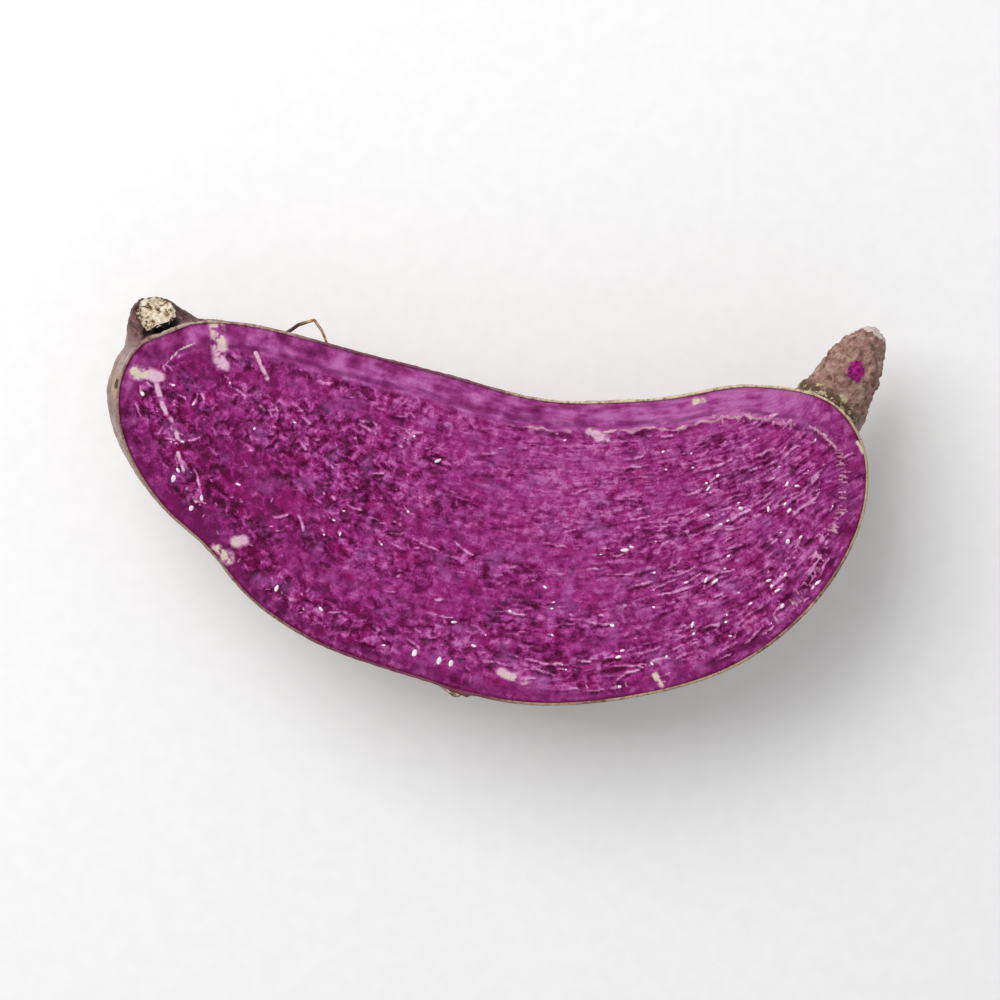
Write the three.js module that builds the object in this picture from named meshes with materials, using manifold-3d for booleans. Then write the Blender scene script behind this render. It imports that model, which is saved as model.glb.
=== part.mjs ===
// Half of a purple sweet potato, cut lengthwise and lying on its rounded back, cut face up.
//
// The root is bent like a bean. A knife has halved it in the plane of the bend, just in front of
// its two ends, so this half keeps both of them: the neck where it was snapped off the vine, with
// its broken woody knob, and the thin scaly tail at the other end. It is one solid.
//
// Units are millimetres. +X runs from the neck end to the tail end, +Y to the hollow side of the
// bend, and +Z out of the cut face. The origin is on the resting surface, under the middle of the
// bounding box.
import * as THREE from "three";
import { mergeVertices } from "three/addons/utils/BufferGeometryUtils.js";
import Module from "manifold-3d";

// ---- Driving dimensions ----------------------------------------------------------------------

// The cut face lies at z = 0 while the solid is made. It is drawn as a ladder of ribs from the
// neck end to the tail end: each rib joins a point on the hollow side of the rim to a point on
// the outer side, both [x, y]. The two poles close the ladder.
const NECK_POLE = [-80.9, 26.8];
const TAIL_POLE = [81.0, 4.9];
const RIBS = [
  { hollow: [-76.6, 36.8], outer: [-79.4, 15.2] },
  { hollow: [-65.4, 41.9], outer: [-72.3, 2.8] },
  { hollow: [-55.8, 42.2], outer: [-62.4, -6.8] },
  { hollow: [-46.0, 40.4], outer: [-53.3, -17.8] },
  { hollow: [-28.0, 35.4], outer: [-38.1, -27.6] },
  { hollow: [-7.4, 29.8], outer: [-16.6, -35.4] },
  { hollow: [13.8, 25.0], outer: [7.2, -41.2] },
  { hollow: [35.0, 25.5], outer: [31.7, -39.6] },
  { hollow: [54.5, 28.4], outer: [53.1, -32.7] },
  { hollow: [72.8, 25.2], outer: [68.6, -20.2] },
  { hollow: [79.9, 16.0], outer: [77.9, -6.4] },
];

// The keel is the deepest line of the back, [x, y, z]. It starts at the second rib and ends at
// the last but one, and the ends of the root are domes around its two ends.
const KEEL = [
  [-55, 17, -29],
  [-30, 8, -34.6],
  [0, 0, -35],
  [32, -3, -34.8],
  [58, 1, -30],
];
const KEEL_FIRST_RIB = 2;
const KEEL_LAST_RIB = 10;

// The root is widest this far behind the cut, so that its skin bulges past the rim. It does most
// at the neck end, and BULGE_FADE is how many ribs it takes to fade.
const BULGE_AT_NECK = 9;
const BULGE_ELSEWHERE = 1.2;
const BULGE_FADE = 4;

// Slow swellings of the back: how far they stand, and the length of one along the root.
const SWELL = 0.9;
const SWELL_LENGTH = 47;

// The back is a little flat where it lies, this far behind the cut.
const REST_DEPTH = 34.2;

// The neck and the tail are tapered tubes: the points of the centre line and the radius there.
const NECK = [
  { at: [-57, 19, -13], radius: 11 },
  { at: [-64, 27.5, -12.8], radius: 11.4 },
  { at: [-70.6, 35.6, -12.4], radius: 10.6 },
  { at: [-72.9, 40.6, -9], radius: 7.2 },
  { at: [-73.8, 43.3, -6.3], radius: 5.4 },
  { at: [-74.2, 45, -4.5], radius: 4.8 },
];
const TAIL = [
  { at: [65, 9, -14], radius: 11 },
  { at: [71.6, 18.5, -13.8], radius: 9.8 },
  { at: [76.7, 26.8, -12.8], radius: 7 },
  { at: [80, 33, -11.8], radius: 6 },
  { at: [82, 36.4, -10.6], radius: 4.6 },
  { at: [83.8, 39.5, -9.4], radius: 2.6 },
];

// The deep crack between the rim and the knob is cut with a tapered tube stretched in depth.
const CRACK_STRETCH = 4;
const CRACK = [
  { at: [-76.4, 38.9, -0.4], radius: 0.3 },
  { at: [-74.5, 39.7, -0.5], radius: 0.6 },
  { at: [-72.3, 40.5, -0.5], radius: 1 },
  { at: [-69.5, 41.5, -0.5], radius: 0.8 },
  { at: [-67.4, 42.6, -0.4], radius: 0.4 },
];

// The stump of a side root on the outer side of the rim.
const SIDE_STUMP = { at: [-8.6, -36.4, -3.4], size: [4.2, 2.8, 2.8] };

// Facets: rim samples from one rib to the next, steps from the rim down to the keel, and the
// sides and rings of a tube.
const RIM_STEPS = 5;
const BACK_STEPS = 13;
const TUBE_SIDES = 20;
const TUBE_RINGS = 14;

const SKIN_COLOUR = 0x8a6f6a;

// ---- Meshes and solids -----------------------------------------------------------------------

const wasm = await Module();
wasm.setup();

function indexedGeometry(points, triangles) {
  const geometry = new THREE.BufferGeometry();
  geometry.setAttribute("position", new THREE.Float32BufferAttribute(points.flat(), 3));
  geometry.setIndex(triangles.flat());
  return geometry;
}

function toSolid(geometry) {
  geometry.deleteAttribute("normal");
  geometry.deleteAttribute("uv");
  const merged = mergeVertices(geometry);
  return new wasm.Manifold(
    new wasm.Mesh({
      numProp: 3,
      vertProperties: merged.getAttribute("position").array,
      triVerts: new Uint32Array(merged.index.array),
    }),
  );
}

function toGeometry(solid) {
  const mesh = solid.getMesh();
  const geometry = new THREE.BufferGeometry();
  geometry.setAttribute("position", new THREE.BufferAttribute(mesh.vertProperties, 3));
  geometry.setIndex(new THREE.BufferAttribute(mesh.triVerts, 1));
  geometry.computeVertexNormals();
  return geometry;
}

// ---- The body --------------------------------------------------------------------------------

const curveThrough = (points, closed = false) =>
  new THREE.CatmullRomCurve3(points.map((p) => new THREE.Vector3(...p)), closed, "centripetal");

// The rim runs from the neck pole along the hollow side to the tail pole, and back along the
// outer side.
const rimCurve = curveThrough(
  [
    NECK_POLE,
    ...RIBS.map((rib) => rib.hollow),
    TAIL_POLE,
    ...RIBS.map((rib) => rib.outer).reverse(),
  ].map(([x, y]) => [x, y, 0]),
  true,
);
const keelCurve = curveThrough(KEEL);
const LAST_STATION = RIBS.length + 1;
const RIM_COUNT = 2 * LAST_STATION * RIM_STEPS;

// How far along the ladder a rim sample is: 0 at the neck pole, LAST_STATION at the tail pole.
function stationOf(i) {
  const along = i / RIM_STEPS;
  return Math.min(along, 2 * LAST_STATION - along);
}

function keelPointAt(station) {
  const share = (station - KEEL_FIRST_RIB) / (KEEL_LAST_RIB - KEEL_FIRST_RIB);
  return keelCurve.getPoint(THREE.MathUtils.clamp(share, 0, 1));
}

// A quarter of an ellipse from a rim point down to its keel point. The widest level lies behind
// the cut, so the arc starts above that level: step 0 is the rim and step BACK_STEPS the keel.
function backPoint(rim, keel, station, step) {
  const fade = THREE.MathUtils.smoothstep(station, 0, BULGE_FADE);
  const widest = THREE.MathUtils.lerp(BULGE_AT_NECK, BULGE_ELSEWHERE, fade);
  const below = -keel.z - widest;
  const start = -Math.asin(widest / below);
  const turn = THREE.MathUtils.lerp(start, Math.PI / 2, step / BACK_STEPS);
  const reach = Math.cos(turn) / Math.cos(start);
  const x = keel.x + (rim.x - keel.x) * reach;
  const y = keel.y + (rim.y - keel.y) * reach;
  const wave = Math.sin((2 * Math.PI * (x + 0.5 * y)) / SWELL_LENGTH);
  const swell = SWELL * wave * (step / BACK_STEPS) * Math.cos(turn);
  const z = -widest - below * Math.sin(turn) - swell;
  return [x, y, Math.max(z, -REST_DEPTH)];
}

function bodyGeometry() {
  const points = [];
  const rimPoints = [];
  for (let i = 0; i < RIM_COUNT; i++) {
    const rim = rimCurve.getPoint(i / RIM_COUNT);
    const station = stationOf(i);
    const keel = keelPointAt(station);
    rimPoints.push(new THREE.Vector2(rim.x, rim.y));
    points.push([rim.x, rim.y, 0]);
    for (let step = 1; step <= BACK_STEPS; step++) points.push(backPoint(rim, keel, station, step));
  }
  const index = (i, step) => (i % RIM_COUNT) * (BACK_STEPS + 1) + step;
  const triangles = [];
  for (let i = 0; i < RIM_COUNT; i++) {
    for (let step = 0; step < BACK_STEPS; step++) {
      const [a, b] = [index(i, step), index(i + 1, step)];
      const [c, d] = [index(i, step + 1), index(i + 1, step + 1)];
      triangles.push([a, b, c], [b, d, c]);
    }
  }
  for (const [a, b, c] of THREE.ShapeUtils.triangulateShape(rimPoints, [])) {
    triangles.push([index(a, 0), index(b, 0), index(c, 0)]);
  }
  return indexedGeometry(points, triangles);
}

// ---- The neck, the tail, the crack and the stump ---------------------------------------------

function taperedTube(stations) {
  const centre = curveThrough(stations.map((station) => station.at));
  const radii = curveThrough(stations.map((station, i) => [i, station.radius, 0]));
  const frames = centre.computeFrenetFrames(TUBE_RINGS);
  const points = [];
  for (let ring = 0; ring <= TUBE_RINGS; ring++) {
    const middle = centre.getPointAt(ring / TUBE_RINGS);
    const radius = radii.getPoint(centre.getUtoTmapping(ring / TUBE_RINGS)).y;
    for (let side = 0; side < TUBE_SIDES; side++) {
      const turn = (2 * Math.PI * side) / TUBE_SIDES;
      const spoke = new THREE.Vector3()
        .addScaledVector(frames.normals[ring], radius * Math.cos(turn))
        .addScaledVector(frames.binormals[ring], radius * Math.sin(turn));
      points.push(middle.clone().add(spoke).toArray());
    }
  }
  const index = (ring, side) => ring * TUBE_SIDES + (side % TUBE_SIDES);
  const triangles = [];
  for (let ring = 0; ring < TUBE_RINGS; ring++) {
    for (let side = 0; side < TUBE_SIDES; side++) {
      const [a, b] = [index(ring, side), index(ring, side + 1)];
      const [c, d] = [index(ring + 1, side), index(ring + 1, side + 1)];
      triangles.push([a, b, c], [b, d, c]);
    }
  }
  for (let side = 1; side < TUBE_SIDES - 1; side++) {
    triangles.push([index(0, 0), index(0, side + 1), index(0, side)]);
    triangles.push([
      index(TUBE_RINGS, 0),
      index(TUBE_RINGS, side),
      index(TUBE_RINGS, side + 1),
    ]);
  }
  return indexedGeometry(points, triangles);
}

function crackGeometry() {
  const geometry = taperedTube(CRACK);
  geometry.scale(1, 1, CRACK_STRETCH);
  return geometry;
}

function stumpGeometry() {
  const geometry = new THREE.SphereGeometry(1, 16, 10);
  geometry.scale(...SIDE_STUMP.size);
  geometry.translate(...SIDE_STUMP.at);
  return geometry;
}

// ---- The whole half --------------------------------------------------------------------------

function sweetPotatoHalf() {
  const solid = toSolid(bodyGeometry())
    .add(toSolid(taperedTube(NECK)))
    .add(toSolid(taperedTube(TAIL)))
    .add(toSolid(stumpGeometry()))
    .subtract(toSolid(crackGeometry()));
  const geometry = toGeometry(solid);
  geometry.computeBoundingBox();
  const centre = geometry.boundingBox.getCenter(new THREE.Vector3());
  geometry.translate(-centre.x, -centre.y, REST_DEPTH);
  const material = new THREE.MeshStandardMaterial({
    color: SKIN_COLOUR,
    roughness: 0.75,
    metalness: 0,
  });
  const mesh = new THREE.Mesh(geometry, material);
  mesh.name = "sweet_potato_half";
  return mesh;
}

const group = new THREE.Group();
group.add(sweetPotatoHalf());

export default group;
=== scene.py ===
"""Half of a purple sweet potato, cut lengthwise, lying on its rounded back with the cut face up.

The CAD solid gives the form. Its facets are smoothed away, and the half is then made of a thin
closed peel, with its wrinkles, eyes, woody neck and scaly tail, and of the closed flesh inside,
whose cut face has a fine relief that follows the root's fibres. Rootlets and latex drops are
small pieces of their own; the drops are near-white partly as painted glints. Sizes are in
millimetres, and become metres as each piece is made.
"""
import math
import random

import bmesh
import bpy
import numpy as np
from mathutils import Matrix, Vector, geometry, noise
from mathutils.bvhtree import BVHTree


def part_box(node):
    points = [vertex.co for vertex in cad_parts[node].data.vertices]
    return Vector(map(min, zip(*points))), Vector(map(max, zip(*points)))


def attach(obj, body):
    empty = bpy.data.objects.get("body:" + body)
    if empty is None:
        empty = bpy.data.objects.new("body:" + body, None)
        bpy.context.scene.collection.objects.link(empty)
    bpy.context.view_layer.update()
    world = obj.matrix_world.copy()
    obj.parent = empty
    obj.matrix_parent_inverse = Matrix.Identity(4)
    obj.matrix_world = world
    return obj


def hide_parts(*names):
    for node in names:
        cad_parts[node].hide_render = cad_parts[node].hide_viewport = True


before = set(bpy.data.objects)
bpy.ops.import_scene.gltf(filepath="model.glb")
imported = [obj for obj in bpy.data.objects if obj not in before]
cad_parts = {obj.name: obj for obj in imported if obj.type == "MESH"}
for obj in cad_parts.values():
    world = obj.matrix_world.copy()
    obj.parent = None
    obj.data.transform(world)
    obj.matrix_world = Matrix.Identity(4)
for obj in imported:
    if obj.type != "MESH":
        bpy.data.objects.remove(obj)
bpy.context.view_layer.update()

# ---- Driving sizes, in millimetres ----

MM = 0.001
NODE = "sweet_potato_half"
LOW, HIGH = (np.array(corner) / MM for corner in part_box(NODE))
CUT = HIGH[2]
LENGTH = HIGH[0] - LOW[0]
RADIUS = CUT

# How thick the peel is, and how far its edge and the flesh inside it have sunk below the cut.
PEEL = 0.55
PEEL_EDGE = CUT - 0.2
FACE = CUT - 0.55

# How far inside the box of the CAD solid things stay: the peel, the tops of the latex drops, and
# the middle lines of the creeping rootlets.
PEEL_CLEAR = 0.03
LATEX_CLEAR = 0.02
ROOTLET_CLEAR = 0.3

# The hidden surfaces of the peel and of the flesh stay this far behind the neck's end.
PEEL_BEHIND_NECK = 4.9
FLESH_BEHIND_NECK = 5.4

# The grain of the meshes: the outside of the peel, the hidden surfaces, and the cut face.
PEEL_GRAIN = 0.62
HIDDEN_GRAIN = 1.5
FACE_GRAIN = 0.365

# The neck and the tail point these ways. Each ends where the solid reaches furthest that way,
# near this place.
NECK_AXIS = np.array([-0.08, 0.70, 0.70])
NECK_NEAR = np.array([-75, 41.5, CUT - 4.5])
TAIL_AXIS = np.array([0.5, 0.84, 0.2])
TAIL_NEAR = np.array([83, 36, CUT - 9])
TIP_REACH = 9

# The deep crack between the rim and the knob, along its middle.
CRACK = np.array([[-77.4, 35.3], [-75.5, 36.1], [-73.3, 37], [-70.5, 38], [-68.3, 39.1]])
TO_KNOB = np.array([-0.385, 0.923])

# A point past the crack is of the knob when it is this near to the neck's axis, or to the crack.
# The knob's end is broken off about this far behind the solid's.
KNOB_NEAR_AXIS = 6.6
KNOB_NEAR_CRACK = 12
BREAK = 1.9

# The stump of a root that the knife has grazed on the outer rim: its middle and half its sizes.
STUMP = np.array([-8.2, -41.2, CUT - 1.2])
STUMP_REACH = np.array([3.4, 2.4, 2.6])

# Where the tail parts from the rim: a line along its torn base.
TAIL_BASE = np.array([[64.5, 24.5], [68.5, 23.0], [73.0, 20.6], [77.0, 16.6]])

# The ring of vessels that parts the cortex from the inner flesh lies this far inside the rim on
# the outer side of the bend, and so much further on the hollow side and at either end.
RING = 3.3
RING_MORE_HOLLOW_SIDE = 3.1
RING_MORE_NECK = 3.0
RING_MORE_TAIL = 2.0

# Pale vessel traces that the knife has cut across: from, to, and half width.
VESSEL_TRACES = [
    ((-60.9, 38.1), (-59.8, 29.1), 1.1),
    ((-78.2, 27.7), (-73.5, 26.6), 1.0),
    ((-74.2, 26.2), (-71.9, 18.8), 0.36),
    ((-70.7, 17.6), (-69.3, 13.6), 0.3),
    ((-69.3, 10.4), (-68.2, 6.6), 0.25),
    ((-67.4, 2.6), (-65.4, -0.2), 0.25),
    ((-52.6, 32.0), (-50.1, 26.3), 0.28),
    ((-72.4, 28.8), (-69.0, 32.4), 0.1),
    ((-69.0, 32.4), (-65.4, 34.1), 0.12),
    ((-60.9, -10.5), (-58.7, -12.3), 1.0),
    ((-56.9, -8.7), (-55.5, -8.7), 0.9),
    ((0.3, -37.5), (5.3, -39.3), 0.7),
    ((19.7, 14.4), (23.0, 12.9), 0.8),
    ((42.4, 21.2), (43.9, 21.6), 0.6),
    ((33.8, -38.2), (35.2, -40.4), 0.5),
    ((77.7, 12.2), (79.1, 10.0), 0.28),
]

# Each point of the skin takes its place along the root from the spine points about this near.
# The nearest one alone would make it jump, on the outer side of the bend.
SPINE_BLUR = 6.0

# Strands and grooves that the knife has left on the cut, bold ones and fine ones: how many, and
# how long and wide. Both sizes are halves, the least and the most.
BOLD_STRANDS = (260, (1.2, 4.4), (0.17, 0.34))
FINE_STRANDS = (380, (0.4, 1.5), (0.13, 0.26))
BOLD_GROOVES = (300, (1.6, 5.4), (0.17, 0.38))
FINE_GROOVES = (380, (0.4, 1.6), (0.16, 0.34))

# The short strokes across the ring of vessels, in the same way, and how much their headings
# vary, in radians.
RING_DASHES = (180, (0.4, 1.3), (0.14, 0.26))
RING_DASH_SWAY = 0.15

# Bands where the knife has torn the cut most: from, to, and half width.
TORN_BANDS = [
    ((-52, 15), (-24, 5), 3.5),
    ((26, -11), (66, 1), 3.5),
    ((38, -22), (68, -11), 3.5),
    ((6, -38), (40, -33), 2.5),
    ((42, -31), (62, -23), 3.5),
    ((-48, -20), (-26, -31), 3.5),
    ((-71, 16), (-66, 2), 3.0),
    ((46, 3), (66, 9), 3.0),
]

# How many drops of latex have beaded on the cut at the ends of strands. Their near-white is
# partly painted glint.
DROP_COUNT = 90

# Eyes that have a set place: on the neck end, and two that the cut has gone through.
SET_EYES = [(-82.4, 25.2, CUT - 1.5), (-60.9, 38.1, CUT), (-62.0, -9.4, CUT - 1)]

# How many eyes there are in all, and how far apart at least.
EYE_COUNT = 24
EYE_SPACING = 13

# How many rootlets there are at most. They keep this far below the cut, and from the tail's tip.
ROOTLET_COUNT = 14
ROOTLET_BELOW_CUT = 1.5
ROOTLET_FROM_TAIL = 22

# Where the random draws of the eyes, the marks of the cut, the rootlets and the latex start.
EYE_SEED, MARK_SEED, ROOTLET_SEED, LATEX_SEED = 4, 5, 8, 6

# Drops that stand alone, near-white partly as painted glints: where each is.
LONE_DROPS = [
    (-18.5, -33.2), (-13.2, -34.8), (-10.6, -35.5), (-48.3, -19), (-66.5, -1.5), (-70.3, 4.8),
]

# The magenta spot where the skin of the tail is scraped off: its middle and half its sizes.
BARE_SPOT = np.array([78.2, 27.5, CUT - 5.8])
BARE_REACH = np.array([1.15, 1.5, 1.9])

# Patches of the cut that are darker or paler than the rest: by how much, the middle, and how far
# the patch reaches in x and in y. The pale ones leave out the cortex of the hollow side.
DARK_PATCHES = [
    (0.098, (-60, -1), (19, 19)),
    (0.030, (-8, -18), (20, 9)),
    (0.026, (8, -30), (18, 8)),
    (0.070, (-66, 28), (5, 5)),
    (0.030, (-69, 14), (4, 9)),
]
PALE_PATCHES = [(0.056, (17, 2), (14, 9)), (0.026, (54, 8), (14, 9))]

# ---- Numbers ----


def ease(value, low, high):
    """0 where value is at low, 1 where it is at high, and smooth between them."""
    share = np.clip((value - low) / (high - low), 0.0, 1.0)
    return share * share * (3.0 - 2.0 * share)


def bell(value, middle, width):
    """1 where value is at the middle, falling smoothly to either side of it."""
    return np.exp(-(((value - middle) / width) ** 2))


def lumps(points, size, octaves=1, seed=0.0):
    """Smooth noise at each point, mostly from -1 to 1. Its lumps are about size across, and each
    seed takes another stretch of the noise."""
    scaled = points / np.array(size, float) + seed
    return np.array([noise.fractal(p, 1.0, 2.0, octaves) for p in scaled.tolist()])


def distances(points, place, unit=1):
    """How far each point is from a place, in millimetres or in a unit for each axis."""
    return np.linalg.norm((points - place) / unit, axis=1)


def units(vectors):
    """The vectors made one long."""
    return vectors / np.linalg.norm(vectors, axis=1)[:, None]


def blocks(points, size=4000):
    """The points a few at a time, so that a table of each against many others stays small."""
    return np.array_split(points, math.ceil(len(points) / size))


def flat(points):
    """Points of the plane as points of space, for the noise."""
    return np.column_stack([points, np.zeros(len(points))])


# ---- Outlines in the plane ----


def to_segments(points, starts, ends):
    """How far each point is from the nearest of some segments, and the nearest point on it."""
    found = []
    for part in blocks(points):
        along = ends - starts
        reach = ((part[:, None] - starts) * along).sum(2) / (along**2).sum(1)
        nearest = starts + np.clip(reach, 0, 1)[..., None] * along
        away = np.linalg.norm(part[:, None] - nearest, axis=2)
        best = away.argmin(1)
        each = np.arange(len(part))
        found.append(np.column_stack([away[each, best], nearest[each, best]]))
    found = np.concatenate(found)
    return found[:, 0], found[:, 1:]


def to_outline(points, outline):
    """How far each point is from a closed outline, and the nearest point on it."""
    return to_segments(points, outline, np.roll(outline, -1, axis=0))


def to_line(points, line):
    """How far each point is from a line through some places, as seen from above."""
    line = np.array(line, float)
    return to_segments(points[:, :2], line[:-1], line[1:])[0]


def inside(points, outline):
    """True for each point that lies inside a closed outline."""
    result = np.zeros(len(points), bool)
    x, y = points.T
    for (x0, y0), (x1, y1) in zip(outline, np.roll(outline, -1, axis=0)):
        if y0 != y1:
            result ^= ((y0 > y) != (y1 > y)) & (x < x0 + (x1 - x0) * (y - y0) / (y1 - y0))
    return result


def grid_inside(outline, grain):
    """Points in staggered rows that fill a closed outline, a little away from its edge."""
    low, high = outline.min(0), outline.max(0)
    rows = np.arange(low[1], high[1], grain * math.sqrt(0.75))
    columns = np.arange(low[0], high[0], grain)
    x = columns + (np.arange(len(rows)) % 2)[:, None] * grain / 2
    y = np.broadcast_to(rows[:, None], x.shape)
    points = np.column_stack([x.ravel(), y.ravel()])
    points = points[inside(points, outline)]
    return points[to_outline(points, outline)[0] > 0.6 * grain]


def triangles_of(points, outlines):
    """Triangles over the points, inside the outlines, each a list of point numbers."""
    corners = [Vector(p) for p in points.tolist()]
    with_holes = 2
    made = geometry.delaunay_2d_cdt(corners, [], outlines, with_holes, 1e-6)
    return [tuple(made[3][corner][0] for corner in face) for face in made[2]]


def spread_inward(points, outline, values):
    """Values on a closed outline carried smoothly over the plane, as mean value coordinates."""
    result = []
    for part in blocks(points):
        spokes = outline - part[:, None]
        reach = np.maximum(np.linalg.norm(spokes, axis=2), 1e-9)
        after, reach_after = np.roll(spokes, -1, axis=1), np.roll(reach, -1, axis=1)
        cross = spokes[..., 0] * after[..., 1] - spokes[..., 1] * after[..., 0]
        dot = (spokes * after).sum(2)
        half_turn = cross / np.maximum(reach * reach_after + dot, 1e-9)
        weight = (half_turn + np.roll(half_turn, 1, axis=1)) / reach
        result.append(weight @ values / weight.sum(1, keepdims=True))
    return np.concatenate(result)


class FibreField:
    """The way that the fibres run in the plane of the cut, from the neck to the tail.

    along is 0 at the neck and 1 at the tail. across is 1 on the hollow side of the bend and -1
    on the outer side. A fibre keeps its value of across."""

    def __init__(self, outline, neck, tail):
        if np.cross(outline, np.roll(outline, -1, axis=0)).sum() < 0:
            outline = outline[::-1]
        first = distances(outline, neck).argmin()
        outline = np.roll(outline, -first, axis=0)
        steps = np.linalg.norm(np.roll(outline, -1, axis=0) - outline, axis=1)
        travelled = np.concatenate([[0], np.cumsum(steps)[:-1]])
        total = steps.sum()
        tail_at = travelled[distances(outline, tail).argmin()]
        outer = travelled < tail_at
        along = np.where(outer, travelled / tail_at, (total - travelled) / (total - tail_at))
        from_neck = np.minimum(travelled, total - travelled)
        blunt = ease(from_neck, 0, 14) * ease(abs(travelled - tail_at), 0, np.where(outer, 32, 14))
        across = np.where(outer, -1, 1) * blunt
        self.outline = outline
        self.values = np.column_stack([along, across])

    def at(self, points):
        """along and across, at each point."""
        return spread_inward(points, self.outline, self.values).T

    def headings(self, points):
        """The way that the fibres run at each point, towards the tail, as unit vectors."""
        step = 0.5
        here, right, up = (self.at(points + by)[1] for by in ([0, 0], [step, 0], [0, step]))
        ahead = np.column_stack([up - here, here - right])
        return ahead / np.maximum(np.linalg.norm(ahead, axis=1), 1e-12)[:, None]


# ---- Meshes ----


def arrays_of(mesh):
    """The points of a mesh in millimetres, their normals, and the faces."""
    points = np.empty(len(mesh.vertices) * 3)
    mesh.vertices.foreach_get("co", points)
    normals = np.array([v.vector for v in mesh.vertex_normals])
    return points.reshape(-1, 3) / MM, normals, [tuple(p.vertices) for p in mesh.polygons]


def linked(name, data):
    """An object that is part of the scene."""
    made = bpy.data.objects.new(name, data)
    bpy.context.scene.collection.objects.link(made)
    return made


def with_modifiers(mesh, *stack):
    """The mesh after some modifiers, each given as its type and its settings."""
    work = linked("work", mesh)
    for kind, settings in stack:
        modifier = work.modifiers.new(kind, kind)
        for name, value in settings.items():
            setattr(modifier, name, value)
    graph = bpy.context.evaluated_depsgraph_get()
    result = bpy.data.meshes.new_from_object(work.evaluated_get(graph))
    bpy.data.objects.remove(work)
    return result


def sunk(mesh, depth_at, neck_end):
    """A copy of the mesh with its points moved inward, by a depth for each point, and at the
    neck's end by neck_end."""
    points, normals, _ = arrays_of(mesh)
    points += normals * (swell(points) - depth_at(points))[:, None]
    points = short_of_crack(short_of_neck_end(points, neck_end), depth_at)
    result = mesh.copy()
    result.vertices.foreach_set("co", (points * MM).ravel())
    return result


def opened(mesh, level):
    """The points, normals and faces of the mesh below a level."""
    form = bmesh.new()
    form.from_mesh(mesh)
    bmesh.ops.bisect_plane(
        form,
        geom=form.verts[:] + form.edges[:] + form.faces[:],
        plane_co=(0, 0, level * MM),
        plane_no=(0, 0, 1),
        clear_outer=True,
    )
    bmesh.ops.remove_doubles(form, verts=form.verts, dist=0.05 * MM)
    result = bpy.data.meshes.new("opened")
    form.to_mesh(result)
    form.free()
    return arrays_of(result)


def open_loop(faces):
    """The one open edge of a surface, as point numbers in order."""
    sides = {(a, b) for face in faces for a, b in zip(face, face[1:] + face[:1])}
    after = {b: a for a, b in sides if (b, a) not in sides}
    loop = [min(after)]
    while after[loop[-1]] != loop[0]:
        loop.append(after[loop[-1]])
    return loop


def shifted(faces, by):
    """The faces with their point numbers raised."""
    return [tuple(corner + by for corner in face) for face in faces]


def piece_of(name, points, faces, materials, material_of_face=None):
    """A smooth piece that stands for the CAD node, from points in millimetres."""
    mesh = bpy.data.meshes.new(name)
    mesh.from_pydata((points * MM).tolist(), [], faces)
    mesh.polygons.foreach_set("use_smooth", [True] * len(faces))
    for material in materials:
        mesh.materials.append(material)
    if material_of_face is not None:
        mesh.polygons.foreach_set("material_index", material_of_face)
    piece = linked(name, mesh)
    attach(piece, "root")
    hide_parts(NODE)
    return piece


def store(piece, name, values):
    """Keeps one number or one vector for each point, for the materials to read."""
    kind, field = ("FLOAT", "value") if values.ndim == 1 else ("FLOAT_VECTOR", "vector")
    attribute = piece.data.attributes.new(name, kind, "POINT")
    attribute.data.foreach_set(field, values.astype(np.float32).ravel())


# ---- Materials ----


def srgb(red, green, blue):
    """A colour given as a screen shows it, 0 to 255, as the shaders take it."""
    shares = [part / 255 for part in (red, green, blue)]
    return [s / 12.92 if s <= 0.04045 else ((s + 0.055) / 1.055) ** 2.4 for s in shares] + [1.0]


class Value:
    """A number, vector or colour that a material works out at each point. Numbers and other
    values can be added to it, taken from it and so on."""

    def __init__(self, look, socket):
        self.look = look
        self.socket = socket

    def math(self, operation, other):
        return self.look.node("ShaderNodeMath", {0: self, 1: other}, operation=operation)

    def __add__(self, other):
        return self.math("ADD", other)

    def __sub__(self, other):
        return self.math("SUBTRACT", other)

    def __mul__(self, other):
        return self.math("MULTIPLY", other)

    def __truediv__(self, other):
        return self.math("DIVIDE", other)

    def at_least(self, other):
        """The larger of the two."""
        return self.math("MAXIMUM", other)

    def part(self, axis):
        """One number of a vector: 0 is x, 1 is y and 2 is z."""
        return self.look.node("ShaderNodeSeparateXYZ", {0: self}, axis)

    def vector_math(self, operation, inputs):
        return self.look.node("ShaderNodeVectorMath", {0: self, **inputs}, operation=operation)

    def shift(self, by):
        """The vector moved as far along each axis, so that its noise is another."""
        return self.vector_math("ADD", {1: (by, by, by)})

    def warp(self, size, amount):
        """The vector pushed about by noise, by up to half of the amount."""
        push = self.look.node("ShaderNodeTexNoise", {"Vector": self, "Scale": 1 / size}, 1)
        return push.vector_math("MULTIPLY_ADD", {1: (amount,) * 3, 2: self}).shift(-amount / 2)

    def noise(self, size, detail=2.0, roughness=0.5, distortion=0.0):
        """Noise from 0 to 1 about 0.5. size is that of its lumps, or one for each axis."""
        sizes = size if isinstance(size, tuple) else (size, size, size)
        scaled = self.vector_math("MULTIPLY", {1: tuple(1 / s for s in sizes)})
        settings = {"Detail": detail, "Roughness": roughness, "Distortion": distortion}
        return self.look.node("ShaderNodeTexNoise", {"Vector": scaled, "Scale": 1.0, **settings})

    def ease(self, low, high, to_low=0.0, to_high=1.0):
        """to_low where the value is at low, to_high where it is at high, smooth between them."""
        inputs = {0: self, 1: low, 2: high, 3: to_low, 4: to_high}
        return self.look.node("ShaderNodeMapRange", inputs, interpolation_type="SMOOTHSTEP")

    def band(self, middle, half):
        """1 where the value is at the middle, 0 past half to either side of it."""
        away = self.look.node("ShaderNodeMath", {0: self - middle}, operation="ABSOLUTE")
        return away.ease(half, half * 0.3)


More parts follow.
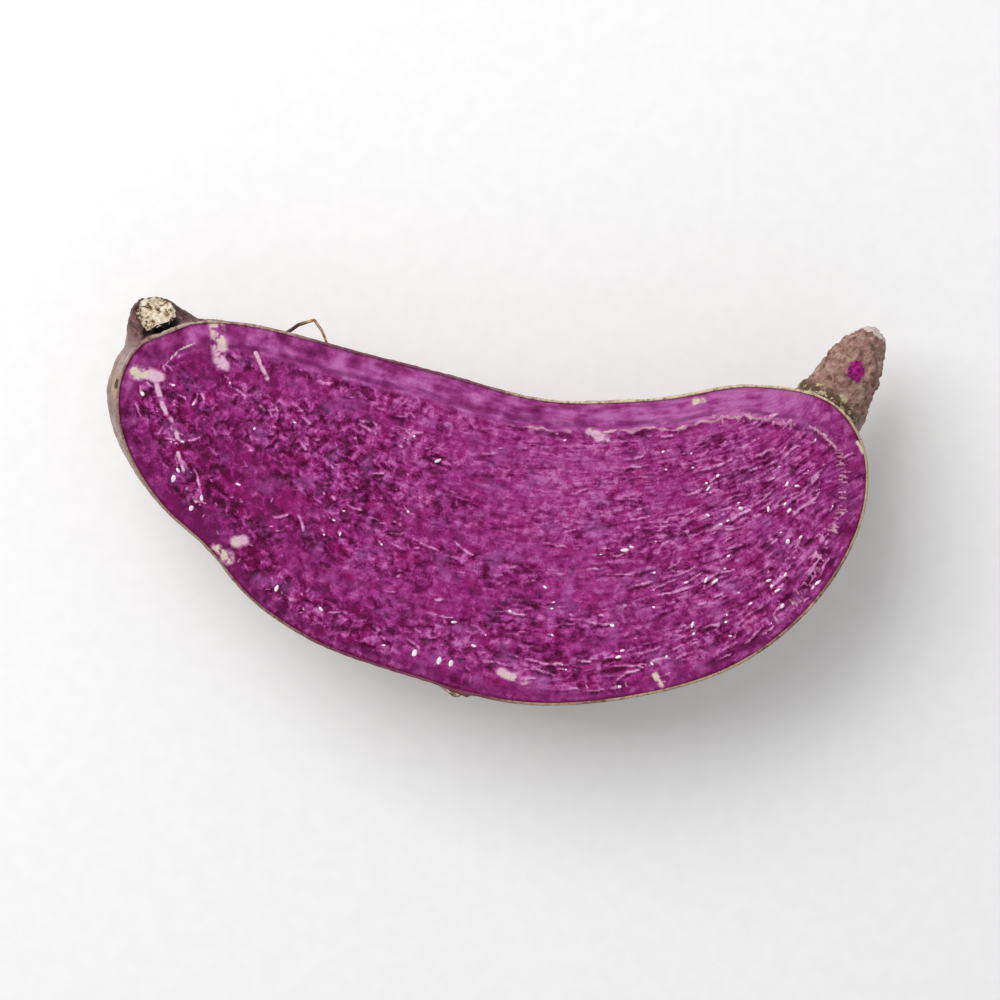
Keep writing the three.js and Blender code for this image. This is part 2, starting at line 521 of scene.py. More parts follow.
class Nodes:
    """The nodes of a material, or of the world. A colour is given as a screen shows it, 0 to
    255."""

    def __init__(self, owner):
        owner.use_nodes = True
        self.tree = owner.node_tree

    def give(self, socket, value):
        """Gives an input of a node its value."""
        if isinstance(value, Value):
            self.tree.links.new(value.socket, socket)
        elif socket.type == "RGBA":
            socket.default_value = srgb(*value)
        else:
            socket.default_value = value

    def node(self, kind, inputs, output=0, **settings):
        """A new node with its inputs and settings. Gives one of its outputs."""
        made = self.tree.nodes.new(kind)
        for name, value in settings.items():
            setattr(made, name, value)
        for key, value in inputs.items():
            self.give(made.inputs[key], value)
        return Value(self, made.outputs[output])


class Look(Nodes):
    """A procedural material on one Principled shader."""

    def __init__(self, name, specular=0.25, coat=0.0):
        self.material = bpy.data.materials.new(name)
        super().__init__(self.material)
        self.shader = self.tree.nodes["Principled BSDF"]
        self.shader.inputs["IOR"].default_value = 1.4
        self.shader.inputs["Specular IOR Level"].default_value = specular
        self.shader.inputs["Coat Weight"].default_value = coat
        self.shader.inputs["Coat Roughness"].default_value = 0.06
        metres = self.node("ShaderNodeTexCoord", {}, "Object")
        self.place = metres.vector_math("SCALE", {"Scale": 1 / MM})

    def attribute(self, name, output="Fac"):
        """What store() has kept for each point."""
        return self.node("ShaderNodeAttribute", {}, output, attribute_name=name)

    def ramp(self, value, *stops):
        """A run of colours, each given with the value that it stands at."""
        made = self.tree.nodes.new("ShaderNodeValToRGB")
        elements = made.color_ramp.elements
        while len(elements) < len(stops):
            elements.new(0.5)
        for element, (position, colour) in zip(elements, stops):
            element.position = position
            element.color = srgb(*colour)
        self.give(made.inputs[0], value)
        return Value(self, made.outputs[0])

    def mix(self, share, first, second):
        """A colour that goes from the first to the second as the share goes from 0 to 1."""
        return self.node("ShaderNodeMix", {0: share, 6: first, 7: second}, 2, data_type="RGBA")

    def painted(self, colour, *coats):
        """The colour under some coats. Each is given as the value that it follows, where that
        has none of the coat and where the most, how much the most is, and the coat's colour."""
        for value, low, high, most, coat in coats:
            colour = self.mix(value.ease(low, high, 0, most), colour, coat)
        return colour

    def blend(self, share, first, second):
        """A number that goes from the first to the second as the share goes from 0 to 1."""
        return self.node("ShaderNodeMix", {0: share, 2: first, 3: second}, 0)

    def bump(self, height, distance):
        """height from 0 to 1 as a relief that is this many millimetres deep."""
        return self.node("ShaderNodeBump", {"Height": height, "Distance": distance * MM})

    def finish(self, colour, roughness, normal):
        """The material, once its shader has its inputs."""
        self.give(self.shader.inputs["Base Color"], colour)
        self.give(self.shader.inputs["Roughness"], roughness)
        self.give(self.shader.inputs["Normal"], normal)
        return self.material


class FleshLook(Look):
    """The moist cut face: mottled purple flesh with strands, grooves, a cortex and pale traces."""

    def __init__(self):
        super().__init__("moist_purple_flesh", specular=0.07)
        self.rim = self.attribute("rim_distance")
        self.ring = self.attribute("ring_distance")
        self.torn = self.attribute("torn")
        self.fibre = self.attribute("fibre_space", "Vector").warp(5, 1.0)
        self.along = self.fibre.part(0) / LENGTH
        self.across = self.fibre.part(1) / RADIUS
        hollow_side = self.across.ease(-0.1, 0.7)
        self.hollow_side = hollow_side.at_least(self.along.ease(0.12, 0.03))
        self.clots = self.place.noise(2.0, 5, 0.66, 0.4)
        self.fine = self.place.noise(0.45, 3, 0.6)
        strands = self.fibre.noise((4.2, 1.05, 1), 4, 0.62, 0.3)
        streaked = self.along.ease(0.25, 0.6, 0.12, 0.40)
        self.mottle = self.blend(streaked, self.clots, strands)

    def tone(self):
        """How pale the flesh inside the ring is, about 0.5, with painted shade in the hollows of the
        relief and painted light on its crests.
        """
        rough = self.along.ease(0.5, 0.7) * self.across.ease(-0.2, -0.7)
        rough *= self.ring.ease(0.6, -0.6)
        rough = self.torn.at_least(rough).ease(0, 1, 1.15, 1.75)
        uneven = (self.mottle - 0.5) * rough
        tone = uneven + 0.5 + self.attribute("tone")
        tone += self.fine.ease(0.2, 0.8, -0.045, 0.045)
        # Painted shade and light: darker where the relief is low, lighter where it is high.
        return tone + self.attribute("relief").ease(-0.3, 0.25, -0.07, 0.07)

    def inner(self):
        """The colour of the flesh inside the ring."""
        colour = self.ramp(
            self.tone(),
            (0.33, (72, 6, 44)),
            (0.42, (110, 22, 80)),
            (0.50, (147, 43, 116)),
            (0.58, (171, 70, 144)),
            (0.68, (198, 116, 178)),
        )
        hue = self.place.shift(15).noise(5.5, 5, 0.68)
        dull = self.place.shift(33).noise(3.2, 5, 0.7)
        return self.painted(
            colour,
            (hue, 0.52, 0.68, 0.6, (158, 80, 150)),
            (hue, 0.48, 0.32, 0.6, (150, 16, 98)),
            (self.torn, 0.35, 0, 0.25, (160, 44, 128)),
            (dull, 0.54, 0.68, 0.55, (100, 42, 84)),
        )

    def softness(self):
        """The smooth streaks of the cortex, from 0 to 1."""
        even = self.place.shift(50).noise(3.5, 4, 0.5)
        soft = self.fibre.noise((7, 2.2, 1), 4, 0.5)
        past_neck = self.along.ease(0.15, 0.5, 0.1, 0.6)
        streaked = past_neck * self.along.ease(0.97, 0.86, 0.2, 1)
        return self.blend(streaked, even, soft)

    def with_cortex(self, colour, soft):
        """The colour with the cortex outside the ring, and a dark line inside the cortex."""
        lilac = soft + self.hollow_side.ease(0, 1, -0.10, 0.05)
        lilac += self.attribute("tone") * 1.1
        lilac += self.along.ease(0.42, 0.16, 0, -0.02)
        cortex = self.ramp(
            lilac,
            (0.34, (104, 22, 80)),
            (0.46, (144, 50, 118)),
            (0.56, (176, 84, 156)),
            (0.64, (192, 110, 174)),
        )
        outside_ring = self.ring.ease(0.5, -0.6)
        in_cortex = outside_ring * self.hollow_side.ease(0, 1, 0.35, 0.92)
        patchy = self.fibre.shift(20).noise((5, 4, 1), 3)
        line = self.ring.band(-1.5, 0.8) * patchy.ease(0.34, 0.50)
        line *= self.hollow_side.ease(0, 1, 0.35, 0.8)
        return self.mix(line * 0.6, self.mix(in_cortex, colour, cortex), (98, 26, 84))

    def with_marks(self, colour):
        """The colour with the grooves darkened as painted shade, the strands and the chips of the
        ring.
        """
        marks = self.attribute("marks", "Vector")
        strand, shaded_groove, chip = (marks.part(axis) for axis in range(3))
        # Painted shade: the grooves, the shadow sides of the strands and the hollows under the ring
        # are darkened.
        dark = shaded_groove * self.clots.ease(0.30, 0.62, 1, 0.5)
        colour = self.mix(dark * 0.9, colour, (68, 6, 42))
        lit = strand * self.clots.ease(0.36, 0.60, 0.35, 1)
        pale = self.ramp(
            lit,
            (0.25, (196, 100, 168)),
            (0.6, (216, 156, 200)),
            (0.95, (242, 222, 238)),
        )
        cream = self.painted((200, 130, 170), (self.clots, 0.42, 0.64, 1, (220, 186, 186)))
        return self.painted(
            colour,
            (lit, 0.05, 0.45, 0.95, pale),
            (chip, 0.2, 0.75, 0.85, cream),
        )

    def with_sap(self, colour, soft):
        """The colour with the darker rim of the outer side, and the pale vessel traces."""
        lips = self.rim.ease(1.1, 0.2) * soft.ease(0.3, 0.6, 0.95, 0.6)
        lips *= self.hollow_side.ease(1, 0, 0.3, 1)
        crumbs = self.place.noise(2.2, 2, 0.5)
        trace = self.attribute("trace") * crumbs.ease(0.30, 0.62, 0.15, 1.35)
        sap = self.painted((222, 180, 206), (self.rim, 7.0, 3.5, 1, (216, 206, 178)))
        return self.painted(
            self.mix(lips, colour, (100, 8, 62)),
            (trace, 0.15, 0.9, 0.7, (206, 140, 182)),
            (trace, 0.6, 1.3, 0.95, sap),
        )

    def made(self):
        """The finished material."""
        soft = self.softness()
        colour = self.with_marks(self.with_cortex(self.inner(), soft))
        height = self.mottle * 0.9 + self.fine * 0.35
        roughness = self.fine.ease(0.35, 0.65, 0.28, 0.52)
        return self.finish(self.with_sap(colour, soft), roughness, self.bump(height, 0.6))


class SkinLook(Look):
    """The dry outside: dusty taupe skin, with eyes, a tan tail and the broken wood of the neck."""

    def __init__(self):
        super().__init__("dusty_taupe_skin")
        self.tail = self.attribute("tail")
        self.neck = self.attribute("neck")
        root = self.attribute("root_space", "Vector")
        self.mottle = root.noise((1.6, 2.6, 1), 4, 0.65, 0.5)
        self.wrinkles = root.noise((0.75, 9, 1), 3, 0.55, 0.25)
        self.wrinkled = self.place.noise(20, 2).ease(0.36, 0.58, 0.25, 1)
        self.scales = self.place.noise(1.6, 4, 0.65, 0.5)

    def cover(self):
        """The colour of the plain skin, with painted shade in its wrinkles, and its specks and eyes.
        """
        broad = self.place.noise(30, 3, 0.55)
        tint = self.place.shift(40).noise(24, 3, 0.6)
        earth = self.place.shift(90).noise(18, 4, 0.65)
        colour = self.painted(
            (144, 120, 116),
            (broad, 0.36, 0.60, 1, (172, 153, 148)),
            (tint, 0.52, 0.70, 0.6, (150, 106, 118)),
            (earth, 0.55, 0.72, 0.7, (122, 98, 74)),
            (self.mottle, 0.48, 0.30, 0.65, (96, 76, 68)),
            (self.mottle, 0.55, 0.72, 0.5, (192, 178, 168)),
        )
        # Painted shade: the creases of the wrinkles are darkened.
        crease_shade = self.wrinkles.ease(0.45, 0.34) * self.wrinkled
        specks = self.place.noise(0.9, 2, 0.5)
        eye = self.attribute("eye_distance") + self.place.noise(1.0, 3) * 1.6
        return self.painted(
            self.mix(crease_shade * 0.5, colour, (84, 64, 58)),
            (specks, 0.68, 0.74, 0.8, (190, 156, 112)),
            (specks, 0.31, 0.26, 0.75, (64, 46, 38)),
            (eye, 3.7, 2.6, 0.7, (172, 146, 118)),
            (eye, 2.1, 1.6, 0.9, (52, 34, 30)),
        )

    def with_tail(self, colour):
        """The colour with the tan tail, its frayed tip, and the torn skin round its base."""
        tan = self.ramp(
            self.scales,
            (0.34, (92, 62, 52)),
            (0.48, (144, 110, 96)),
            (0.60, (172, 142, 128)),
            (0.70, (204, 186, 168)),
        )
        rosy = self.place.shift(60).noise(4, 3, 0.6)
        tan = self.painted(tan, (rosy, 0.5, 0.66, 0.55, (158, 106, 112)))
        fray = self.attribute("tip") + (self.scales - 0.5)
        torn = self.attribute("base") + (self.scales - 0.5) * 3.0
        colour = self.painted(
            self.mix(self.tail * 0.95, colour, tan),
            (fray, 0.52, 0.72, 0.85, (212, 200, 190)),
            (torn, 0.3, 0.9, 0.85, (70, 58, 40)),
        )
        flaps = self.place.shift(75).noise((2.6, 1.3, 1.6), 3, 0.6)
        at_base = self.attribute("base").ease(0.1, 0.4)
        return self.mix(at_base * flaps.ease(0.54, 0.62), colour, (186, 174, 138))

    def with_neck(self, colour):
        """The colour with the dark neck, and the pith and bark of its broken end."""
        stub = self.painted((62, 38, 36), (self.scales, 0.40, 0.64, 1, (126, 84, 84)))
        pith = self.ramp(
            self.place.noise(1.7, 4, 0.62, 0.8),
            (0.35, (46, 28, 20)),
            (0.43, (136, 104, 78)),
            (0.50, (212, 196, 170)),
            (0.64, (238, 231, 217)),
        )
        wood = self.attribute("wood")
        bark = wood.ease(0, 0.3) * wood.ease(1, 0.6)
        colour = self.mix(wood, self.mix(self.neck * 0.9, colour, stub), pith)
        return self.mix(bark * 0.8, colour, (58, 36, 30))

    def with_scars(self, colour):
        """The colour with the stump on the rim, the crack painted near-black as shade and dried stem,
        and the bare spot on the tail.
        """
        from_below = self.place.part(2).ease(CUT - 2.5, CUT - 0.5, -0.12, 0.12)
        knot = self.ramp(
            self.scales + from_below,
            (0.38, (84, 76, 48)),
            (0.50, (150, 128, 92)),
            (0.60, (226, 218, 196)),
        )
        colour = self.painted(colour, (self.attribute("stump"), 0.2, 0.6, 0.95, knot))
        # Painted shade in the crack, together with the dark dried stem: near-black.
        colour = self.mix(self.attribute("crack"), colour, (12, 7, 6))
        bare = self.attribute("bare") + self.place.noise(1.2, 3) * 0.8
        raw = self.painted((112, 8, 92), (self.scales, 0.44, 0.56, 1, (178, 34, 130)))
        return self.painted(colour, (bare, 0.85, 1.2, 1, raw))

    def made(self):
        """The finished material."""
        colour = self.with_scars(self.with_neck(self.with_tail(self.cover())))
        fine = self.place.noise(0.35, 3, 0.6)
        height = self.mottle * 0.5 + fine * 0.25
        height += self.wrinkles * self.wrinkled * 0.8
        height += self.scales * (self.tail + self.neck)
        roughness = self.mottle.ease(0.3, 0.7, 0.88, 0.68)
        return self.finish(colour, roughness, self.bump(height, 0.4))


def peel_edge_look():
    """The cut edge of the peel: corky and pale in the hollow of the bend, dark on the outer side."""
    look = Look("corky_peel_edge")
    cork = look.place.noise(1.1, 4, 0.65)
    pale = look.painted((158, 130, 100), (cork, 0.34, 0.56, 1, (220, 202, 160)))
    rosy = look.painted((134, 100, 92), (cork, 0.36, 0.60, 1, (186, 160, 148)))
    maroon = look.painted((84, 34, 48), (cork, 0.34, 0.62, 1, (150, 112, 100)))
    colour = look.painted(rosy, (look.place.part(0), 0, 18, 1, pale))
    outer = look.attribute("rim_side").ease(0.1, -0.5)
    colour = look.mix(outer * 0.55, colour, (140, 120, 96))
    patches = look.place.noise(14, 3).ease(0.60, 0.46, 0.25, 0.95)
    colour = look.mix(outer * patches, colour, maroon)
    stained = look.place.part(0).ease(-46, -38) * look.place.part(0).ease(4, -4)
    colour = look.mix(stained * 0.8, colour, (112, 48, 74))
    end = look.place.part(0).ease(72, 79) * cork.ease(0.3, 0.6, 0.4, 0.9)
    colour = look.mix(end, colour, (178, 168, 124))
    return look.finish(colour, cork.ease(0.3, 0.7, 0.85, 0.65), look.bump(cork, 0.25))


def rootlet_look():
    """Dry, hair-thin roots."""
    look = Look("dry_rootlet")
    bark = look.place.noise(0.8, 3, 0.6)
    colour = look.painted(
        (132, 98, 62),
        (bark, 0.38, 0.62, 1, (196, 162, 116)),
        (look.place.noise(9, 1), 0.52, 0.62, 0.8, (84, 56, 40)),
    )
    near_neck = look.place.part(0).ease(-41.5, -44)
    colour = look.mix(near_neck * 0.85, colour, (58, 36, 28))
    return look.finish(colour, bark.ease(0.3, 0.7, 0.8, 0.65), look.bump(bark, 0.06))


def latex_and_glint_look():
    """The milky sap that beads where vessels are cut, near-white partly as painted glints."""
    look = Look("milky_latex_and_glints", coat=0.6)
    cloud = look.place.noise(0.8, 2)
    # Near-white: milky latex, and partly painted glints.
    colour = look.painted((226, 206, 226), (cloud, 0.35, 0.65, 1, (250, 248, 246)))
    return look.finish(colour, cloud.ease(0.3, 0.7, 0.16, 0.28), look.bump(cloud, 0.05))


def floor_look():
    """A plain white surface that is clear from below."""
    look = Look("white_floor")
    paper = look.place.noise(4, 2)
    tone = paper.ease(0.3, 0.7, 0.93, 0.95)
    white = look.node("ShaderNodeCombineColor", {0: tone, 1: tone, 2: tone})
    material = look.finish(white, 0.9, look.bump(paper, 0.01))
    back = look.node("ShaderNodeNewGeometry", {}, "Backfacing")
    clear = look.node("ShaderNodeBsdfTransparent", {})
    paper_shader = Value(look, look.shader.outputs[0])
    shown = look.node("ShaderNodeMixShader", {0: back, 1: paper_shader, 2: clear})
    look.give(look.tree.nodes["Material Output"].inputs["Surface"], shown)
    return material


# ---- The smoothed form ----


def past_crack(points):
    """How far each point is past the line of the crack, on the knob's side of it."""
    return (points[:, :2] - CRACK[0]) @ TO_KNOB


def raised_solid(height):
    """A copy of the CAD solid with its cut face pushed up, so that the cut can be made again."""
    form = bmesh.new()
    form.from_mesh(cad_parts[NODE].data)
    bmesh.ops.remove_doubles(form, verts=form.verts, dist=0.001 * MM)
    low_enough = (CUT - 0.01) * MM
    flats = [f for f in form.faces if all(v.co.z > low_enough for v in f.verts)]
    middles = np.array([f.calc_center_median() for f in flats]) / MM
    top = [f for f, over in zip(flats, past_crack(middles)) if over < 0]
    raised = bmesh.ops.extrude_face_region(form, geom=top)["geom"]
    bmesh.ops.delete(form, geom=top, context="FACES")
    for item in raised:
        if isinstance(item, bmesh.types.BMVert):
            item.co.z += height * MM
    mesh = bpy.data.meshes.new("raised")
    form.to_mesh(mesh)
    form.free()
    return mesh


def furthest(points, axis):
    """The middle of the points that reach furthest along an axis."""
    reach = points @ axis
    return points[reach > reach.max() - 0.3].mean(0)


# The cut face is raised this far before smoothing, so that its edge is cut sharp again after it.
# The form is smoothed this many times, at the crack and away from it.
RAISE = 8
ROUNDS_AT_CRACK, ROUNDS = 7, 40


def smoothed_form():
    """The CAD form without its facets: well smoothed, but at the crack only lightly."""
    remesh = ("REMESH", {"mode": "VOXEL", "voxel_size": PEEL_GRAIN * MM})
    lightly, well = (
        with_modifiers(raised_solid(RAISE), remesh, ("SMOOTH", {"factor": 0.5, "iterations": rounds}))
        for rounds in (ROUNDS_AT_CRACK, ROUNDS)
    )
    points = arrays_of(lightly)[0]
    at_crack = ease(to_line(points, CRACK), 7.0, 3.0)[:, None]
    points = at_crack * points + (1 - at_crack) * arrays_of(well)[0]
    knob = (past_crack(points) > 0.5) & (to_line(points, CRACK) < KNOB_NEAR_CRACK)
    points[knob, 2] = np.minimum(points[knob, 2], PEEL_EDGE - 0.4)
    well.vertices.foreach_set("co", (points * MM).ravel())
    well.update()
    return well


FINE_FORM = smoothed_form()
HIDDEN_FORM = with_modifiers(
    FINE_FORM.copy(),
    ("REMESH", {"mode": "VOXEL", "voxel_size": HIDDEN_GRAIN * MM}),
)
CAD_POINTS = arrays_of(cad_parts[NODE].data)[0]
NECK_AXIS /= np.linalg.norm(NECK_AXIS)
TAIL_AXIS /= np.linalg.norm(TAIL_AXIS)
NECK_TIP = furthest(CAD_POINTS[distances(CAD_POINTS, NECK_NEAR) < TIP_REACH], NECK_AXIS)
TAIL_TIP = furthest(CAD_POINTS[distances(CAD_POINTS, TAIL_NEAR) < TIP_REACH], TAIL_AXIS)


def behind_neck_end(points):
    """How far behind the neck's end each point is, and inf where the neck isn't."""
    behind = (NECK_TIP - points) @ NECK_AXIS
    aside = np.linalg.norm(NECK_TIP - points - behind[:, None] * NECK_AXIS, axis=1)
    return np.where((aside < KNOB_NEAR_AXIS) & (past_crack(points) > 0.4), behind, np.inf)


def short_of_neck_end(points, least):
    """The points, pulled back to at least so far behind the neck's end."""
    over = np.maximum(least - behind_neck_end(points), 0.0)
    return points - NECK_AXIS * over[:, None]


def short_of_crack(points, depth_at):
    """The points of a hidden surface, kept on the near side of the crack and out of the knob."""
    over = np.maximum(past_crack(points) + 1.2 + depth_at(points), 0.0)
    over *= 0.9 * ease(CUT - points[:, 2], 16.0, 10.0) * ease(to_line(points, CRACK), 16.0, 10.0)
    return points - np.column_stack([over[:, None] * TO_KNOB, np.zeros(len(points))])


# ---- The flesh ----


def swell(points):
    """Slow swellings of the whole root, outward in millimetres."""
    return 0.45 * lumps(points, 26.0, 1, 2.0)


def peel_depth(points):
    """How deep the inside of the peel lies, which is the same everywhere."""
    return np.full(len(points), PEEL)


def flesh_depth(points):
    """The flesh bites a little into the peel at the cut, and is clear of it below."""
    return PEEL - 0.2 + 0.5 * ease(CUT - points[:, 2], 1.5, 5.0)


def ridges(points, size, octaves, seed):
    """Noise with sharp crests: 1 on a crest, and mostly 0 to 0.5 elsewhere."""
    return np.maximum(1.0 - 2.2 * np.abs(lumps(points, size, octaves, seed)), 0.0)


def ring_distances(points, along, across, rim):
    """How far each point is inside the ring of vessels. It is less than 0 in the cortex."""
    ring = RING + RING_MORE_HOLLOW_SIDE * ease(across, -0.6, 0.8)
    ring += RING_MORE_NECK * ease(along, 0.14, 0.02) + RING_MORE_TAIL * ease(along, 0.80, 0.95)
    return rim - ring - 0.9 * lumps(flat(points), 14.0, 2, 61.0)


def drawn(points, strokes):
    """How strongly strokes mark each point, 0 to 1. A stroke is its middle, its heading, half of
    its length and of its width, how far its ends bend aside, and its strength."""
    order = points[:, 0].argsort()
    sorted_x = points[order, 0]
    result = np.zeros(len(points))
    for middle, heading, half_length, half_width, bend, strength in strokes:
        reach = half_length + 1.0
        first, last = np.searchsorted(sorted_x, [middle[0] - reach, middle[0] + reach])
        near = order[first:last]
        away = points[near] - middle
        share = away @ heading / half_length
        aside = away @ [-heading[1], heading[0]] + bend * share**2
        width = half_width * np.sqrt(np.maximum(1 - share**2, 1e-6))
        mark = strength * (0.78 + 0.22 * share) * ease(np.abs(aside) / width, 1.6, 0.4)
        result[near] = np.maximum(result[near], mark)
    return result


def turned(vectors, angle):
    """Vectors of the plane, turned to the left."""
    cos, sin = math.cos(angle), math.sin(angle)
    return vectors @ np.array([[cos, sin], [-sin, cos]])


def strokes_along(places, headings, sizes, dice, sway=0.16):
    """A stroke at each place, roughly along its heading. Short ones are the commonest. In the
    neck half they are shorter still, and less in order."""
    (shortest, longest), (thinnest, thickest) = sizes
    strokes = []
    for place, heading in zip(places, headings):
        order = ease(place[0], -45.0, 5.0)
        half_length = shortest + (longest - shortest) * dice.random() ** 2 * (0.35 + 0.65 * order)
        half_width = dice.uniform(thinnest, thickest)
        heading = turned(heading, dice.gauss(0, sway + 0.4 * (1 - order)))
        bend = dice.uniform(-0.18, 0.18) * half_length
        strokes.append((place, heading, half_length, half_width, bend, dice.uniform(0.35, 1.0)))
    return strokes


def shadow_beside(strokes, dice):
    """For most strokes, a thin groove close along its lower side, away from the key lamp, which is
    painted dark as the stroke's shadow.
    """
    result = []
    for middle, heading, half_length, half_width, bend, strength in strokes:
        if dice.random() < 0.65:
            below = np.array([heading[1], -heading[0]])
            place = middle + below * (half_width + dice.uniform(0.2, 0.4))
            result.append((place, heading, half_length * 0.95, half_width, bend, strength))
    return result


def picked(places, chances, count, dice):
    """Some of the places, picked by their chances. One can be picked again."""
    return places[dice.choices(range(len(places)), weights=chances.tolist(), k=count)]


def torn(points, fibres):
    """How torn the cut is at each point, from 0 where it is calm to 1 where it is roughest."""
    result = 0.6 * ease(lumps(fibres, (24.0, 6.5, 1.0), 2, 7.0), -0.3, 0.35)
    for start, end, half_width in TORN_BANDS:
        result = np.maximum(result, bell(to_line(points, (start, end)), 0, half_width))
    return result


def strokes_of(kinds, field, places, chances, dice):
    """Strokes of several kinds at places picked by chance, along the fibres."""
    strokes = []
    for count, *sizes in kinds:
        middles = picked(places, chances, count, dice)
        strokes += strokes_along(middles, field.headings(middles), sizes, dice)
    return strokes


def ring_dashes(field, places, along, across, ring, dice):
    """Short strokes across the ring of vessels, most of them at the tail's end."""
    on_ring = bell(ring, 0.5, 0.7)
    end = on_ring * ease(along, 0.74, 0.86) * ease(across, 0.9, 0.6)
    count, *sizes = RING_DASHES
    middles = picked(places, end + 0.10 * on_ring * ease(across, 0.2, -0.2), count, dice)
    outward = units(to_outline(middles, field.outline)[1] - middles)
    return strokes_along(middles, outward, sizes, dice, RING_DASH_SWAY)


def stroke_chances(places, fibres, along, across, ring):
    """How likely a stroke is at each point. It is likely where the cut is torn, less so in the
    calm middle of the hollow side, and in the cortex only at the outer side of the tail half."""
    calm = bell(along, 0.60, 0.15) * bell(across, 0.4, 0.45)
    outer_end = ease(across, 0.1, -0.4) * ease(along, 0.5, 0.7)
    within = ease(ring + 2.0 * outer_end, -1.0, 1.0)
    chances = (0.08 + torn(places, fibres)) * (1 - 0.85 * calm) * within
    return chances * (0.6 + 0.7 * ease(along, 0.5, 0.8))


def cut_marks(field, places, fibres, ring):
    """Three marks for each point of the cut, 0 to 1: pale strands, grooves, which also take the
    painted shade beside the strands and under the ring, and the chips and dashes of the ring.
    Also the strands themselves."""
    dice = random.Random(MARK_SEED)
    place = flat(places)
    along, across = fibres[:, 0] / LENGTH, fibres[:, 1] / RADIUS
    chances = stroke_chances(places, fibres, along, across, ring)
    strands = strokes_of([BOLD_STRANDS, FINE_STRANDS], field, places, chances, dice)
    grooves = strokes_of([BOLD_GROOVES, FINE_GROOVES], field, places, chances + 0.05, dice)
    # Painted shadows: a dark groove along the side of each strand that faces away from the key lamp.
    grooves += shadow_beside(strands, dice)
    dashes = ring_dashes(field, places, along, across, ring, dice)

    wavy = places + 0.3 * np.column_stack([lumps(place, 2.6, 2, seed) for seed in (81.0, 87.0)])
    strand, shaded_groove = drawn(wavy, strands), drawn(wavy, grooves)
    dash = drawn(places, dashes)

    jagged = ring + 0.8 * lumps(place, 2.8, 3, 71.0)
    gaps = ease(lumps(place, 5.0, 2, 73.0), -0.35, 0.05)
    shown = ease(places[:, 0], -8.0, 14.0) * ease(places[:, 1], 2.0, 9.0)
    chip = np.maximum(dash, bell(jagged, 0.1, 0.33) * gaps * shown)
    at_end = ease(places[:, 0], 58.0, 68.0) * ease(places[:, 1], -30.0, -18.0)
    shade = bell(jagged, 0.95, 0.55) * ease(lumps(place, 3.0, 2, 79.0), -0.3, 0.3)
    shade = np.maximum(shade * shown, bell(ring, 0.6, 1.1) * at_end * 0.8)
    shaded_groove = np.maximum(shaded_groove, 0.9 * shade)
    marks = np.column_stack([strand, shaded_groove * (1 - 0.8 * np.maximum(strand, chip)), chip])
    return marks, strands


def cut_relief(points, fibres, marks, rim, ring):
    """How far the cut face stands above its level, in millimetres."""
    place = flat(points)
    strand, shaded_groove, chip = marks
    drift = fibres + lumps(place, 9.0, 1, 3.0)[:, None] * [0.0, 0.9, 0.0]
    inner = ease(ring, -1.0, 1.5)
    fibrous = (ridges(drift, (7.0, 1.15, 1.0), 2, 11.0) - 0.45) * 0.17
    grains = 0.08 * lumps(place, 0.9, 2, 31.0)
    hollows = 0.13 * lumps(place, 12.0, 2, 43.0)
    seam = -0.10 * bell(ring, -1.2, 0.6)
    height = fibrous * (0.25 + 0.75 * inner) + grains * (0.6 + 0.4 * inner)
    height += 0.16 * strand + 0.14 * chip - 0.26 * shaded_groove
    return (height + hollows + seam) * ease(rim, 0.0, 1.2)


def patches_at(points, patches):
    """How much some patches add at each point."""
    x, y = points.T
    return sum(
        amount * bell(x, middle[0], reach[0]) * bell(y, middle[1], reach[1])
        for amount, middle, reach in patches
    )


def slow_tone(points, ring):
    """How much lighter or darker the flesh is in its parts. It pales from the neck to the tail
    half, and is darker near the rim on the outer side."""
    x, y = points.T
    near_outer_rim = ease(ring, 3, -1) * ease(y, 5, -10)
    in_cortex = ease(ring, 1, -1) * ease(y, 5, 12)
    tone = 0.046 * ease(x, -50, 15) - 0.030 - patches_at(points, DARK_PATCHES)
    tone += patches_at(points, PALE_PATCHES) * (1 - in_cortex) - 0.020 * near_outer_rim
    tone += in_cortex * (0.045 * bell(x, 62, 16) - 0.055 * bell(x, 5, 20))
    return tone + 0.010 * lumps(flat(points), 13.0, 2, 91.0)


def traces_at(points):
    """1.5 in the middle of a vessel trace, falling to 0 at 2.5 times its half width."""
    result = np.zeros(len(points))
    for start, end, half_width in VESSEL_TRACES:
        away = to_line(points, (start, end)) / half_width
        result = np.maximum(result, 1.5 - ease(away, 0.0, 2.5) * 1.5)
    return result


def closed_flesh():
    """The flesh with a flat cut face: its points, its faces, the outline of the cut face and the
    points inside that outline, which are also the last of all the points."""
    back, _, back_faces = opened(sunk(HIDDEN_FORM, flesh_depth, FLESH_BEHIND_NECK), FACE)
    loop = open_loop(back_faces)
    outline = back[loop][:, :2]
    fill = grid_inside(outline, FACE_GRAIN)
    points = np.concatenate([back, np.column_stack([fill, np.full(len(fill), FACE)])])
    numbers = np.concatenate([loop, np.arange(len(back), len(points))])
    face = triangles_of(np.concatenate([outline, fill]), [list(range(len(outline)))])
    faces = back_faces + [tuple(int(numbers[corner]) for corner in f) for f in face]
    return points, faces, outline, fill


